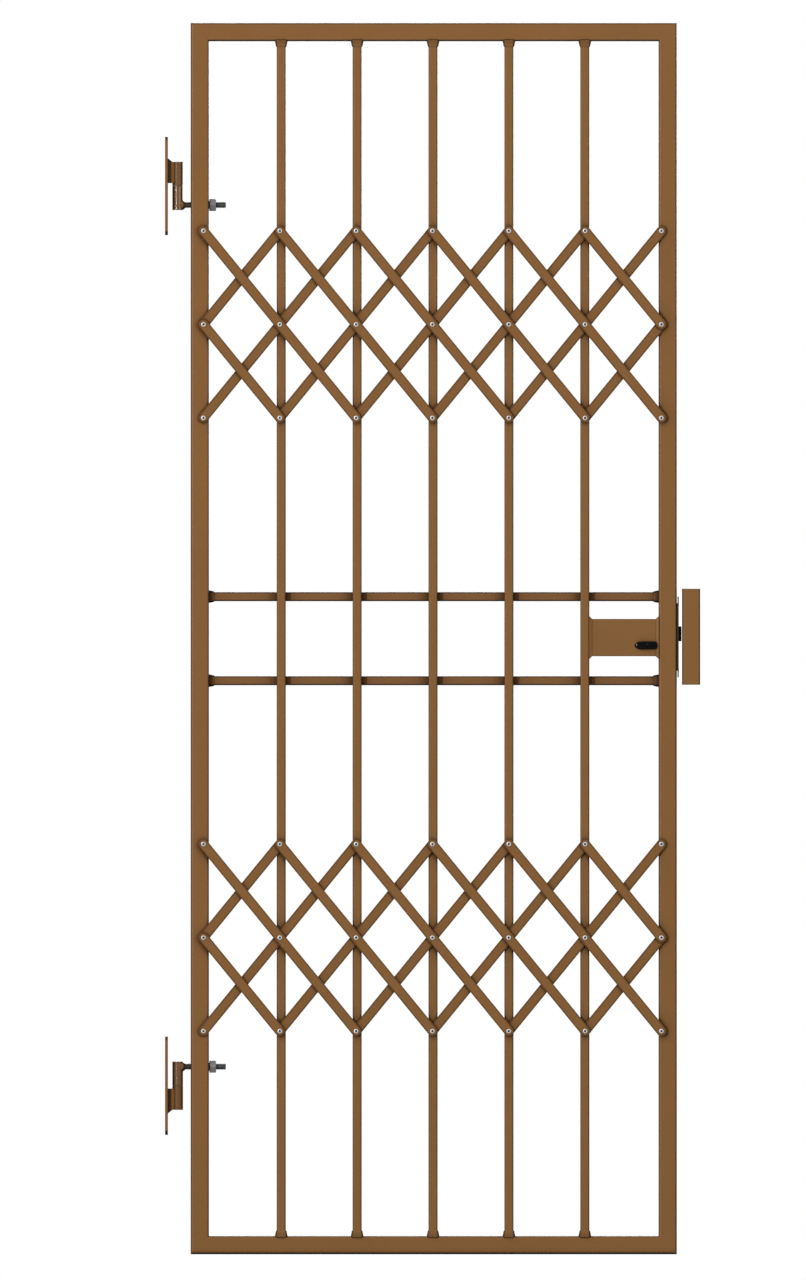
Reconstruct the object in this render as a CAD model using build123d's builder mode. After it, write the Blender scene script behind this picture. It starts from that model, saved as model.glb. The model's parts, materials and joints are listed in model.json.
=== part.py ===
"""Hinged security gate with a fixed, riveted trellis lattice: one leaf, its two hinges, lock and keep.

Millimetres. X runs from the hinge wall to the lock side, Y away from the viewer, Z up.
The origin is the centre of the lower hinge plate's back face, where it meets the wall.
"""
import math
import os

from build123d import *

os.makedirs("parts", exist_ok=True)

# The leaf's outer frame: square tube, mitred at the corners
LEAF_WIDTH = 770.0
LEAF_HEIGHT = 1950.0
LEAF_TO_WALL = 40.5
TUBE = 29.0
TUBE_RADIUS = 4.0
TUBE_WALL = 2.0

# The five uprights and two cross bars: smaller square tube, welded in at both ends
BAR = 14.5
BAR_RADIUS = 3.0
BAR_WALL = 1.5
UPRIGHT_COUNT = 5
UPRIGHT_INSET = 24.4
UPRIGHT_SHIFT = -1.1
CROSS_BAR_GAP = 133.1

# Weld collars round the bar ends: (height above the rail, how far it stands out from the bar)
WELD_PROFILE = ((0.0, 2.8), (7.8, 1.2), (9.0, 0.1))
WELD_FRONT_SHARE = 0.45
WELD_INTO_CORNER = 2.5
WELD_CORNER_CUT = 1.8

# The trellis: two layers of flat strip, riveted together and to the tubes
STRIP_WIDTH = 15.8
STRIP_THICKNESS = 3.0
RIVET_INSET = 22.36
RIVET_SHIFT = -2.0
RIVET_ROW_PITCH = 148.1
LATTICE_FROM_TOP = 477.3
LATTICE_FROM_BOTTOM = 501.5
SPACER_DIAMETER = 14.0

# The two hinges, each given by the height of the split between its knuckles
HINGE_FROM_TOP = 258.0
HINGE_FROM_BOTTOM = 267.0
PIN_X = 20.0
PIN_DIAMETER = 10.0
PIN_CLEARANCE = 0.1
PIN_END_GAP = 1.0
KNUCKLE_DIAMETER = 17.0
KNUCKLE_LENGTH = 38.0
KNUCKLE_GAP = 0.4
KNUCKLE_BLIND_END = 4.0
PLATE_HEIGHT = 156.0
PLATE_WIDTH = 30.0
PLATE_THICKNESS = 4.5
PLATE_RADIUS = 8.0
PLATE_HOLE = 9.0
PLATE_HOLE_FROM_END = 18.0
GUSSET_THICKNESS = 14.0
GUSSET_SETBACK = 4.4
GUSSET_RISE = 5.8
GUSSET_WELD = 3.3

# The threaded stud that carries each gate knuckle on the hinge stile
STUD_DIAMETER = 10.0
STUD_FROM_END = 8.0
STUD_PAST_STILE = 26.9
STUD_CHAMFER = 1.0
BOSS_DIAMETER = 15.9
BOSS_LENGTH = 3.6
NUT_FLATS = 19.0
NUT_THICKNESS = 10.5
NUT_COLLAR_DIAMETER = 13.0
NUT_COLLAR = 0.8

# Heights on the lock side, above the middle of the leaf
LOCK_ABOVE_MIDDLE = 1.7
FOREND_ABOVE_MIDDLE = 2.7
BOLT_ABOVE_MIDDLE = 7.7
KEY_ABOVE_MIDDLE = -10.7
KEEP_ABOVE_MIDDLE = 3.0

# The lock case between the last upright and the lock stile
CASE_HEIGHT = 59.0
CASE_WALL = 2.0
CASE_RECESS = 2.0
CASE_WELD = 4.3
CASE_WELD_FRONT = 1.9
CASE_WELD_INTO_CORNER = 1.5
CASE_WELD_EDGE = 0.1
KEY_FROM_STILE = 19.8
KEY_WIDTH = 35.5
KEY_HEIGHT = 12.5
KEY_ROUND_END = 10.0
KEY_CORNER = 4.5
KEY_PROUD = 5.0
KEY_CHAMFER = 2.0

# The forend on the stile's outer edge, and the bolt that slides through it
PACKER_HEIGHT = 107.0
PACKER_WIDTH = 23.0
PACKER_THICKNESS = 1.0
FACEPLATE_HEIGHT = 128.0
FACEPLATE_WIDTH = 24.0
FACEPLATE_THICKNESS = 2.0
BOLT_HEIGHT = 23.6
BOLT_THICKNESS = 12.0
BOLT_LENGTH = 84.0
BOLT_CHAMFER = 0.8
BOLT_CLEARANCE = 0.3
BOLT_TO_KEEP = 0.8

# The keep: a closed length of rectangular tube, screwed to the other wall
KEEP_GAP = 5.2
KEEP_HEIGHT = 152.0
KEEP_WIDTH = 28.8
KEEP_DEPTH = 29.0
KEEP_WALL = 3.0
KEEP_RADIUS = 3.0
KEEP_SLOT_HEIGHT = 34.0
KEEP_SLOT_DEPTH = 20.0
KEEP_SCREW_FROM_END = 18.0
KEEP_SCREW_HOLE = 7.0
KEEP_ACCESS_HOLE = 14.0

# Places that follow from the sizes above
LEAF_LEFT = LEAF_TO_WALL
LEAF_RIGHT = LEAF_LEFT + LEAF_WIDTH
LEAF_BOTTOM = -HINGE_FROM_BOTTOM
LEAF_TOP = LEAF_BOTTOM + LEAF_HEIGHT
MIDDLE_X = (LEAF_LEFT + LEAF_RIGHT) / 2
MIDDLE_Z = (LEAF_BOTTOM + LEAF_TOP) / 2
FRONT = -TUBE / 2
UPRIGHT_Y = FRONT + BAR / 2
CROSS_BAR_Y = FRONT + BAR + BAR / 2
UPRIGHT_PITCH = (LEAF_WIDTH - 2 * UPRIGHT_INSET) / (UPRIGHT_COUNT + 1)
RIVET_COLUMNS = UPRIGHT_COUNT + 2
RIVET_PITCH = (LEAF_WIDTH - 2 * RIVET_INSET) / (RIVET_COLUMNS - 1)
LAST_UPRIGHT_X = MIDDLE_X + UPRIGHT_SHIFT + (UPRIGHT_COUNT - 1) / 2 * UPRIGHT_PITCH
CASE_LEFT = LAST_UPRIGHT_X + BAR / 2
CASE_RIGHT = LEAF_RIGHT - TUBE
CASE_DEPTH = TUBE - 2 * CASE_RECESS
FOREND_X = LEAF_RIGHT + PACKER_THICKNESS + FACEPLATE_THICKNESS
KEEP_LEFT = FOREND_X + KEEP_GAP
KEEP_RIGHT = KEEP_LEFT + KEEP_WIDTH
BOLT_NOSE = KEEP_LEFT - BOLT_TO_KEEP
BOLT_Z = MIDDLE_Z + BOLT_ABOVE_MIDDLE
LOCK_Z = MIDDLE_Z + LOCK_ABOVE_MIDDLE
KEEP_Z = MIDDLE_Z + KEEP_ABOVE_MIDDLE


def save(solid, node):
    """Name a finished piece and write its STEP file."""
    solid.label = node
    export_step(solid, f"parts/{node}.step")


def across_x(x, z, y=0.0):
    """A plane that faces +X, with its own x along Y and its own y along Z."""
    return Plane(origin=(x, y, z), x_dir=(0, 1, 0), z_dir=(1, 0, 0))


def facing_viewer(x, y, z):
    """A plane that faces the viewer, with its own x along X and its own y along Z."""
    return Plane(origin=(x, y, z), x_dir=(1, 0, 0), z_dir=(0, -1, 0))


def pin_cylinder(z_from, z_to, diameter):
    """A cylinder on the hinge axis, between two heights given in either order."""
    with BuildPart() as cylinder:
        with BuildSketch(Plane(origin=(PIN_X, 0, min(z_from, z_to)))):
            Circle(diameter / 2)
        extrude(amount=abs(z_to - z_from))
    return cylinder.part


def bar_outline(plane, length, width, radius):
    """A solid bar with rounded corners, centred on the plane and running both ways along its normal."""
    with BuildPart() as outline:
        with BuildSketch(plane):
            RectangleRounded(width, width, radius)
        extrude(amount=length / 2, both=True)
    return outline.part


def build_frame():
    """The four mitred tubes. Returns each one's outline filled in, and each one as a hollow tube."""
    places = {
        "top_rail": ((MIDDLE_X, 0, LEAF_TOP - TUBE / 2), (1, 0, 0), LEAF_WIDTH, (0, 0, -1)),
        "bottom_rail": ((MIDDLE_X, 0, LEAF_BOTTOM + TUBE / 2), (1, 0, 0), LEAF_WIDTH, (0, 0, 1)),
        "hinge_stile": ((LEAF_LEFT + TUBE / 2, 0, MIDDLE_Z), (0, 0, 1), LEAF_HEIGHT, (1, 0, 0)),
        "lock_stile": ((LEAF_RIGHT - TUBE / 2, 0, MIDDLE_Z), (0, 0, 1), LEAF_HEIGHT, (-1, 0, 0)),
    }
    outlines = {}
    tubes = {}
    for node, (middle, along, length, inward) in places.items():
        plane = Plane(origin=middle, x_dir=(0, 1, 0), z_dir=along)
        run = Vector(*along)
        side = Vector(*inward)
        outlines[node] = bar_outline(plane, length, TUBE, TUBE_RADIUS)
        with BuildPart() as tube:
            add(outlines[node])
            with BuildSketch(plane):
                Rectangle(TUBE - 2 * TUBE_WALL, TUBE - 2 * TUBE_WALL)
            extrude(amount=length / 2, both=True, mode=Mode.SUBTRACT)
            for way in (-1, 1):
                corner = Vector(*middle) + run * (way * length / 2) - side * (TUBE / 2)
                split(bisect_by=Plane(origin=corner, z_dir=side + run * way), keep=Keep.BOTTOM)
        tubes[node] = tube.part
    return outlines, tubes


def weld_collar(end, outward, rear_bar):
    """The weld round a bar's end: eight-sided rings that narrow from the rail to the bar."""
    sections = ((-WELD_INTO_CORNER, WELD_PROFILE[0][1]),) + WELD_PROFILE
    with BuildPart() as collar:
        for height, proud in sections:
            outer_face = proud * WELD_FRONT_SHARE
            shift = (proud - outer_face) / 2 * (-1 if rear_bar else 1)
            middle = end - outward * height + Vector(0, shift, 0)
            with BuildSketch(Plane(origin=middle, x_dir=(0, 1, 0), z_dir=-outward)) as ring:
                Rectangle(BAR + proud + outer_face, BAR + 2 * proud)
                chamfer(ring.vertices(), WELD_CORNER_CUT + proud / 2)
        loft(ruled=True)
    return collar.part


def welded_bar(middle, along, length, carriers):
    """A tube with a weld collar at each end, cut to the outlines of the two tubes that carry it."""
    plane = Plane(origin=middle, x_dir=(0, 1, 0), z_dir=along)
    run = Vector(*along)
    full_length = length + 2 * WELD_INTO_CORNER
    with BuildPart() as bar:
        add(bar_outline(plane, full_length, BAR, BAR_RADIUS))
        for way in (-1, 1):
            outward = run * way
            add(weld_collar(Vector(*middle) + outward * (length / 2), outward, middle[1] > 0))
        with BuildSketch(plane):
            Rectangle(BAR - 2 * BAR_WALL, BAR - 2 * BAR_WALL)
        extrude(amount=full_length / 2, both=True, mode=Mode.SUBTRACT)
        for carrier in carriers:
            add(carrier, mode=Mode.SUBTRACT)
    return bar.part


def build_bars(outlines):
    """The uprights, flush with the leaf's front, and the cross bars behind them."""
    rails = (outlines["top_rail"], outlines["bottom_rail"])
    for number in range(UPRIGHT_COUNT):
        x = MIDDLE_X + UPRIGHT_SHIFT + (number - (UPRIGHT_COUNT - 1) / 2) * UPRIGHT_PITCH
        upright = welded_bar((x, UPRIGHT_Y, MIDDLE_Z), (0, 0, 1), LEAF_HEIGHT - 2 * TUBE, rails)
        save(upright, f"upright_{number + 1}")

    stiles = (outlines["hinge_stile"], outlines["lock_stile"])
    for node, way in (("lower_cross_bar", -1), ("upper_cross_bar", 1)):
        middle = (MIDDLE_X, CROSS_BAR_Y, MIDDLE_Z + way * CROSS_BAR_GAP / 2)
        save(welded_bar(middle, (1, 0, 0), LEAF_WIDTH - 2 * TUBE, stiles), node)


def rivet_place(column, row, band_middle):
    """Where the lattice's rivet is, with columns counted from the hinge side and rows from the top."""
    x = MIDDLE_X + RIVET_SHIFT + (column - (RIVET_COLUMNS - 1) / 2) * RIVET_PITCH
    return x, band_middle + (1 - row) * RIVET_ROW_PITCH


def strip_layer(strips, band_middle, back_y):
    """One layer of parallel strips with rounded ends, each given by the rivets at its two ends."""
    with BuildPart() as layer:
        for start, end in strips:
            x0, z0 = rivet_place(*start, band_middle)
            x1, z1 = rivet_place(*end, band_middle)
            slope = math.degrees(math.atan2(z1 - z0, x1 - x0))
            with BuildSketch(facing_viewer((x0 + x1) / 2, back_y, (z0 + z1) / 2)):
                SlotCenterToCenter(math.hypot(x1 - x0, z1 - z0), STRIP_WIDTH, rotation=slope)
        extrude(amount=STRIP_THICKNESS)
    return layer.part


def build_lattice():
    """The two trellis bands. Rising strips lie on the tubes and falling strips lie on those."""
    last = RIVET_COLUMNS - 1
    falling = [((column, 0), (column + 2, 2)) for column in range(last - 1)]
    falling += [((0, 1), (1, 2)), ((last - 1, 0), (last, 1))]
    rising = [((column, 2), (column + 2, 0)) for column in range(last - 1)]
    rising += [((0, 1), (1, 0)), ((last - 1, 2), (last, 1))]
    bands = {"upper": LEAF_TOP - LATTICE_FROM_TOP, "lower": LEAF_BOTTOM + LATTICE_FROM_BOTTOM}

    with BuildPart() as lattice_spacers:
        for band_middle in bands.values():
            for column, row in ((0, 0), (last, 2)):
                x, z = rivet_place(column, row, band_middle)
                with BuildSketch(facing_viewer(x, FRONT, z)):
                    Circle(SPACER_DIAMETER / 2)
        extrude(amount=STRIP_THICKNESS)
    save(lattice_spacers.part, "lattice_spacers")

    for band, band_middle in bands.items():
        save(strip_layer(rising, band_middle, FRONT), f"{band}_lattice_back_strips")
        save(strip_layer(falling, band_middle, FRONT - STRIP_THICKNESS), f"{band}_lattice_front_strips")


def hinge_plate(split_z):
    """The wall plate, with two anchor holes."""
    hole_z = PLATE_HEIGHT / 2 - PLATE_HOLE_FROM_END
    with BuildPart() as plate:
        with BuildSketch(across_x(0, split_z)):
            RectangleRounded(PLATE_WIDTH, PLATE_HEIGHT, PLATE_RADIUS)
            with Locations((0, -hole_z), (0, hole_z)):
                Circle(PLATE_HOLE / 2, mode=Mode.SUBTRACT)
        extrude(amount=PLATE_THICKNESS)
    return plate.part


def hinge_gusset(split_z, far, way):
    """The block between plate and wall knuckle, flared by its weld at the plate and sloped at its far end."""
    half = GUSSET_THICKNESS / 2
    flare_x = PLATE_THICKNESS + GUSSET_WELD
    bend = GUSSET_WELD * (1 - math.sqrt(0.5))
    near = split_z + way * GUSSET_SETBACK
    peak = far + way * GUSSET_RISE
    knuckle_edge = PIN_X - KNUCKLE_DIAMETER / 2
    with BuildPart() as gusset:
        with BuildSketch(Plane(origin=(0, 0, min(near, peak)))):
            with BuildLine():
                Line((PIN_X, -half), (flare_x, -half))
                ThreePointArc(
                    (flare_x, -half),
                    (PLATE_THICKNESS + bend, -half - bend),
                    (PLATE_THICKNESS, -half - GUSSET_WELD),
                )
                Line((PLATE_THICKNESS, -half - GUSSET_WELD), (PLATE_THICKNESS, half + GUSSET_WELD))
                ThreePointArc(
                    (PLATE_THICKNESS, half + GUSSET_WELD),
                    (PLATE_THICKNESS + bend, half + bend),
                    (flare_x, half),
                )
                Line((flare_x, half), (PIN_X, half))
                Line((PIN_X, half), (PIN_X, -half))
            make_face()
        extrude(amount=abs(peak - near))
        with BuildSketch(Plane.XZ):
            Polygon(
                (PLATE_THICKNESS, near),
                (PIN_X, near),
                (PIN_X, far),
                (knuckle_edge, far),
                (PLATE_THICKNESS, peak),
                align=None,
            )
        extrude(amount=PLATE_WIDTH, both=True, mode=Mode.INTERSECT)
        add(pin_cylinder(near, far, KNUCKLE_DIAMETER), mode=Mode.SUBTRACT)
    return gusset.part


def gate_knuckle(near, far, stud_z, way):
    """The knuckle on the leaf: blind-bored for the pin, with a tapered boss where the stud is welded on."""
    boss_start = PIN_X + KNUCKLE_DIAMETER / 2
    stud_axis = Axis((PIN_X, 0, stud_z), (1, 0, 0))
    with BuildPart() as knuckle:
        add(pin_cylinder(near, far, KNUCKLE_DIAMETER))
        with BuildSketch(Plane.XZ):
            Polygon(
                (PIN_X, stud_z),
                (boss_start + BOSS_LENGTH, stud_z),
                (boss_start + BOSS_LENGTH, stud_z + STUD_DIAMETER / 2),
                (boss_start, stud_z + BOSS_DIAMETER / 2),
                (PIN_X, stud_z + BOSS_DIAMETER / 2),
                align=None,
            )
        revolve(axis=stud_axis)
        bore = PIN_DIAMETER + 2 * PIN_CLEARANCE
        add(pin_cylinder(near, far + way * KNUCKLE_BLIND_END, bore), mode=Mode.SUBTRACT)
    return knuckle.part


def hinge_stud(stud_z):
    """The stud from the boss through the stile, chamfered at its free end."""
    start = PIN_X + KNUCKLE_DIAMETER / 2 + BOSS_LENGTH
    with BuildPart() as stud:
        with BuildSketch(across_x(start, stud_z)):
            Circle(STUD_DIAMETER / 2)
        extrude(amount=LEAF_LEFT + TUBE + STUD_PAST_STILE - start)
        chamfer(stud.edges().group_by(Axis.X)[-1], STUD_CHAMFER)
    return stud.part


def stud_nut(stud_z):
    """A hexagon nut that bears on the stile's inner face with its collar."""
    face = LEAF_LEFT + TUBE
    with BuildPart() as nut:
        with BuildSketch(across_x(face + NUT_COLLAR, stud_z)):
            RegularPolygon(NUT_FLATS / 2, 6, major_radius=False)
        extrude(amount=NUT_THICKNESS)
        with BuildSketch(across_x(face, stud_z)):
            Circle(NUT_COLLAR_DIAMETER / 2)
        extrude(amount=NUT_COLLAR)
        with BuildSketch(across_x(face, stud_z)):
            Circle(STUD_DIAMETER / 2)
        extrude(amount=NUT_COLLAR + NUT_THICKNESS, mode=Mode.SUBTRACT)
    return nut.part


def build_hinges():
    """Both hinges. Returns the heights of their studs.

    The wall knuckle is above the split on the upper hinge and below it on the lower one, so the leaf
    can't be lifted off.
    """
    stud_heights = []
    for hinge, split_z, way in (("lower", 0.0, -1), ("upper", LEAF_TOP - HINGE_FROM_TOP, 1)):
        wall_near = split_z + way * KNUCKLE_GAP / 2
        wall_far = wall_near + way * KNUCKLE_LENGTH
        gate_near = split_z - way * KNUCKLE_GAP / 2
        gate_far = gate_near - way * KNUCKLE_LENGTH
        stud_z = gate_far + way * STUD_FROM_END
        pin_tip = gate_far + way * (KNUCKLE_BLIND_END + PIN_END_GAP)

        with BuildPart() as wall_knuckle:
            add(pin_cylinder(wall_near, wall_far, KNUCKLE_DIAMETER))
            add(pin_cylinder(wall_near, wall_far, PIN_DIAMETER), mode=Mode.SUBTRACT)
        save(wall_knuckle.part, f"{hinge}_wall_knuckle")
        save(pin_cylinder(wall_far, pin_tip, PIN_DIAMETER), f"{hinge}_hinge_pin")
        save(hinge_plate(split_z), f"{hinge}_hinge_plate")
        save(hinge_gusset(split_z, wall_far, way), f"{hinge}_hinge_gusset")
        save(gate_knuckle(gate_near, gate_far, stud_z, way), f"{hinge}_gate_knuckle")
        save(hinge_stud(stud_z), f"{hinge}_hinge_stud")
        save(stud_nut(stud_z), f"{hinge}_stud_nut")
        stud_heights.append(stud_z)
    return stud_heights


def bolt_hole(x_low, x_high):
    """The slot that the bolt slides through, between two places along X."""
    with BuildPart() as slot:
        with BuildSketch(across_x(x_low, BOLT_Z)):
            Rectangle(BOLT_THICKNESS + 2 * BOLT_CLEARANCE, BOLT_HEIGHT + 2 * BOLT_CLEARANCE)
        extrude(amount=x_high - x_low)
    return slot.part


def case_weld(x, inward):
    """The weld round one end of the lock case, tapering from the tube onto the case."""
    with BuildPart() as weld:
        with BuildSketch(across_x(x - inward * CASE_WELD_INTO_CORNER, LOCK_Z)):
            Rectangle(CASE_DEPTH + 2 * CASE_WELD_FRONT, CASE_HEIGHT + 2 * CASE_WELD)
        with BuildSketch(across_x(x, LOCK_Z)):
            Rectangle(CASE_DEPTH + 2 * CASE_WELD_FRONT, CASE_HEIGHT + 2 * CASE_WELD)
        with BuildSketch(across_x(x + inward * CASE_WELD, LOCK_Z)):
            Rectangle(CASE_DEPTH + 2 * CASE_WELD_EDGE, CASE_HEIGHT + 2 * CASE_WELD_EDGE)
        loft(ruled=True)
    return weld.part


def build_lock_case(outlines):
    """The welded case: a box that is open towards the stile, with its key escutcheon on the front."""
    width = CASE_RIGHT - CASE_LEFT
    with BuildPart() as upright_weld:
        add(case_weld(CASE_LEFT, 1))
        with BuildSketch(Plane(origin=(CASE_LEFT, 0, LOCK_Z), z_dir=(0, -1, 0), x_dir=(1, 0, 0))):
            Rectangle(width, CASE_HEIGHT * 2)
        extrude(amount=TUBE, mode=Mode.INTERSECT)
    with BuildPart() as lock_case:
        with BuildSketch(across_x(CASE_LEFT, LOCK_Z)):
            Rectangle(CASE_DEPTH, CASE_HEIGHT)
        extrude(amount=width)
        add(upright_weld.part)
        add(case_weld(CASE_RIGHT, -1))
        with BuildSketch(across_x(CASE_LEFT + CASE_WALL, LOCK_Z)):
            Rectangle(CASE_DEPTH - 2 * CASE_WALL, CASE_HEIGHT - 2 * CASE_WALL)
        extrude(amount=width + TUBE, mode=Mode.SUBTRACT)
        add(outlines["lock_stile"], mode=Mode.SUBTRACT)
        last_upright = Plane(origin=(LAST_UPRIGHT_X, UPRIGHT_Y, LOCK_Z), x_dir=(0, 1, 0), z_dir=(0, 0, 1))
        add(bar_outline(last_upright, CASE_HEIGHT * 2, BAR, BAR_RADIUS), mode=Mode.SUBTRACT)
    save(lock_case.part, "lock_case")

    key_x = CASE_RIGHT - KEY_FROM_STILE
    with BuildPart() as key_escutcheon:
        with BuildSketch(facing_viewer(key_x, FRONT + CASE_RECESS, MIDDLE_Z + KEY_ABOVE_MIDDLE)) as outline:
            with Locations((KEY_ROUND_END - KEY_WIDTH / 2, 0)):
                Ellipse(KEY_ROUND_END, KEY_HEIGHT / 2)
            with Locations((KEY_ROUND_END / 2, 0)):
                Rectangle(KEY_WIDTH - KEY_ROUND_END, KEY_HEIGHT)
            fillet(outline.vertices().group_by(Axis.X)[-1], KEY_CORNER)
        extrude(amount=KEY_PROUD)
        chamfer(key_escutcheon.edges().group_by(Axis.Y)[0], KEY_CHAMFER)
        add(lock_case.part, mode=Mode.SUBTRACT)
    save(key_escutcheon.part, "key_escutcheon")


def forend_plate(x, thickness, width, height):
    """A flat plate on the stile's outer edge, slotted for the bolt."""
    with BuildPart() as plate:
        with BuildSketch(across_x(x, MIDDLE_Z + FOREND_ABOVE_MIDDLE)):
            Rectangle(width, height)
        extrude(amount=thickness)
        add(bolt_hole(x, x + thickness), mode=Mode.SUBTRACT)
    return plate.part


def build_bolt():
    """The lock bolt, drawn at rest with its nose just short of the keep."""
    with BuildPart() as lock_bolt:
        with BuildSketch(across_x(BOLT_NOSE - BOLT_LENGTH, BOLT_Z)):
            Rectangle(BOLT_THICKNESS, BOLT_HEIGHT)
        extrude(amount=BOLT_LENGTH)
        chamfer(lock_bolt.edges().group_by(Axis.X)[-1], BOLT_CHAMFER)
    save(lock_bolt.part, "lock_bolt")


def build_keep():
    """The keep: slotted for the bolt, with screw holes in its wall side and wider ones to reach them."""
    middle_x = (KEEP_LEFT + KEEP_RIGHT) / 2
    screw_z = KEEP_HEIGHT / 2 - KEEP_SCREW_FROM_END
    screw_places = ((0, -screw_z), (0, screw_z))
    with BuildPart() as keep_box:
        with BuildSketch(Plane(origin=(middle_x, 0, KEEP_Z))):
            RectangleRounded(KEEP_WIDTH, KEEP_DEPTH, KEEP_RADIUS)
        extrude(amount=KEEP_HEIGHT / 2, both=True)
        with BuildSketch(Plane(origin=(middle_x, 0, KEEP_Z))):
            Rectangle(KEEP_WIDTH - 2 * KEEP_WALL, KEEP_DEPTH - 2 * KEEP_WALL)
        extrude(amount=KEEP_HEIGHT / 2 - KEEP_WALL, both=True, mode=Mode.SUBTRACT)
        with BuildSketch(across_x(KEEP_LEFT, KEEP_Z)):
            with Locations(*screw_places):
                Circle(KEEP_ACCESS_HOLE / 2)
            with Locations((0, BOLT_Z - KEEP_Z)):
                Rectangle(KEEP_SLOT_DEPTH, KEEP_SLOT_HEIGHT)
        extrude(amount=KEEP_WALL, mode=Mode.SUBTRACT)
        with BuildSketch(across_x(KEEP_RIGHT - KEEP_WALL, KEEP_Z)):
            with Locations(*screw_places):
                Circle(KEEP_SCREW_HOLE / 2)
        extrude(amount=KEEP_WALL, mode=Mode.SUBTRACT)
    save(keep_box.part, "keep_box")


outlines, tubes = build_frame()
build_bars(outlines)
build_lattice()
stud_heights = build_hinges()

with BuildPart() as hinge_stile:
    add(tubes["hinge_stile"])
    with BuildSketch(across_x(LEAF_LEFT, 0)):
        with Locations(*((0, z) for z in stud_heights)):
            Circle(STUD_DIAMETER / 2)
    extrude(amount=TUBE, mode=Mode.SUBTRACT)
save(hinge_stile.part, "hinge_stile")

with BuildPart() as lock_stile:
    add(tubes["lock_stile"])
    add(bolt_hole(LEAF_RIGHT - TUBE, LEAF_RIGHT), mode=Mode.SUBTRACT)
save(lock_stile.part, "lock_stile")

save(tubes["top_rail"], "top_rail")
save(tubes["bottom_rail"], "bottom_rail")

build_lock_case(outlines)
plate_x = LEAF_RIGHT + PACKER_THICKNESS
save(forend_plate(LEAF_RIGHT, PACKER_THICKNESS, PACKER_WIDTH, PACKER_HEIGHT), "forend_packer")
save(forend_plate(plate_x, FACEPLATE_THICKNESS, FACEPLATE_WIDTH, FACEPLATE_HEIGHT), "forend_faceplate")
build_bolt()
build_keep()
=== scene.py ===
"""Looks of the hinged security gate: finishes, rivets, threads, nuts, washers, lock trim, light and camera.

Metres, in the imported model's frame: X to the lock side, Y away from the viewer, Z up.
"""
import json
import math
import random

import bmesh
import bpy
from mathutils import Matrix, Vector


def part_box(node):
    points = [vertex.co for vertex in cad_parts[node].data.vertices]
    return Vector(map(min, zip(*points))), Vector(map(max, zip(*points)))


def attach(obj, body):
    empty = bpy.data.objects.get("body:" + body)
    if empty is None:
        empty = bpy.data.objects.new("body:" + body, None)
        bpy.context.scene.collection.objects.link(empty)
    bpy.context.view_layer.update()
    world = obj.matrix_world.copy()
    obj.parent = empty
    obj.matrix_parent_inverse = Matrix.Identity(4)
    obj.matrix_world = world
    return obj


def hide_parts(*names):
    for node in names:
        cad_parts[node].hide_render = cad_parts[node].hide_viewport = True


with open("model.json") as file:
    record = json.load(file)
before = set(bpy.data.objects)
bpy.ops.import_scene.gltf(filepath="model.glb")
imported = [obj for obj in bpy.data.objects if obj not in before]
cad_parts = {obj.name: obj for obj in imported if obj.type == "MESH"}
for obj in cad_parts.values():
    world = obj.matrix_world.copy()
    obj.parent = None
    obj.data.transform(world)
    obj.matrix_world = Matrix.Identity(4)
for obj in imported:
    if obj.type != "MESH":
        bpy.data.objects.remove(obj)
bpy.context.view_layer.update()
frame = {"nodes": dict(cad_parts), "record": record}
nodes = frame["nodes"]
random.seed(11)

MM = 0.001
LEVELS = ("upper", "lower")
X_AXIS = Vector((1, 0, 0))
Y_AXIS = Vector((0, 1, 0))
Z_AXIS = Vector((0, 0, 1))

# The leaf, read from the frame
TOP_LOW, TOP_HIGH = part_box("top_rail")
BOTTOM_LOW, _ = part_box("bottom_rail")
LEAF_BOTTOM = BOTTOM_LOW.z
LEAF_WIDTH = TOP_HIGH.x - TOP_LOW.x
LEAF_HEIGHT = TOP_HIGH.z - LEAF_BOTTOM
MIDDLE_X = (TOP_LOW.x + TOP_HIGH.x) / 2
MIDDLE_Z = (TOP_HIGH.z + LEAF_BOTTOM) / 2
TUBE = TOP_HIGH.z - TOP_LOW.z
FRONT = TOP_LOW.y

# The trellis and its rivets
STRIP_WIDTH = 15.8 * MM
STRIP_THICKNESS = 3.0 * MM
LAST_COLUMN = 6
LAST_ROW = 2
RIVET_RADIUS = 3.9 * MM
RIVET_HEIGHT = 1.5 * MM
RIVET_STEM_RADIUS = 1.7 * MM
RIVET_SEGMENTS = 28

# Shares of the rivet head's height and radius, from the strip to the top
RIVET_DOME = ((0.0, 0.97), (0.22, 1.0), (0.48, 0.955), (0.74, 0.82), (0.92, 0.64), (1.0, 0.46))

# Shares of the head's height and of the stem's radius, from the stem's rim to its middle
RIVET_STEM = ((0.96, 1.06), (0.62, 1.0), (0.60, 0.92), (0.66, 0.45))

# The hinge pins' place and the threaded studs
PIN_X = 20.0 * MM
STUD_PITCH = 1.5 * MM
STUD_THREAD_DEPTH = 0.85 * MM
STUD_CHAMFER = 1.1 * MM
STUD_SEGMENTS = 28
STUD_STEPS_A_PITCH = 6
THREAD_ROOT = 0.12
THREAD_FLANK = 0.72

# The nuts; the chamfer's slope is the tangent of 30 degrees
NUT_FLATS = 19.0 * MM
NUT_CORNER_RADIUS = NUT_FLATS / math.sqrt(3)
NUT_CHAMFER = 2.4 * MM
NUT_CHAMFER_SLOPE = 0.577
NUT_CHAMFER_STEPS = 6
NUT_CONE_START = 0.985
NUT_COLLAR = 0.8 * MM
NUT_FACE = 13.0 * MM
NUT_BORE = 10.0 * MM
NUT_COUNTERSINK = 0.7 * MM
NUT_SEGMENTS = 96

# The bearing washers
WASHER = 16.9 * MM
WASHER_BORE = 10.4 * MM
WASHER_PLAY = 0.04 * MM
WASHER_CHAMFER = 0.1 * MM
WASHER_SEGMENTS = 56

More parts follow.
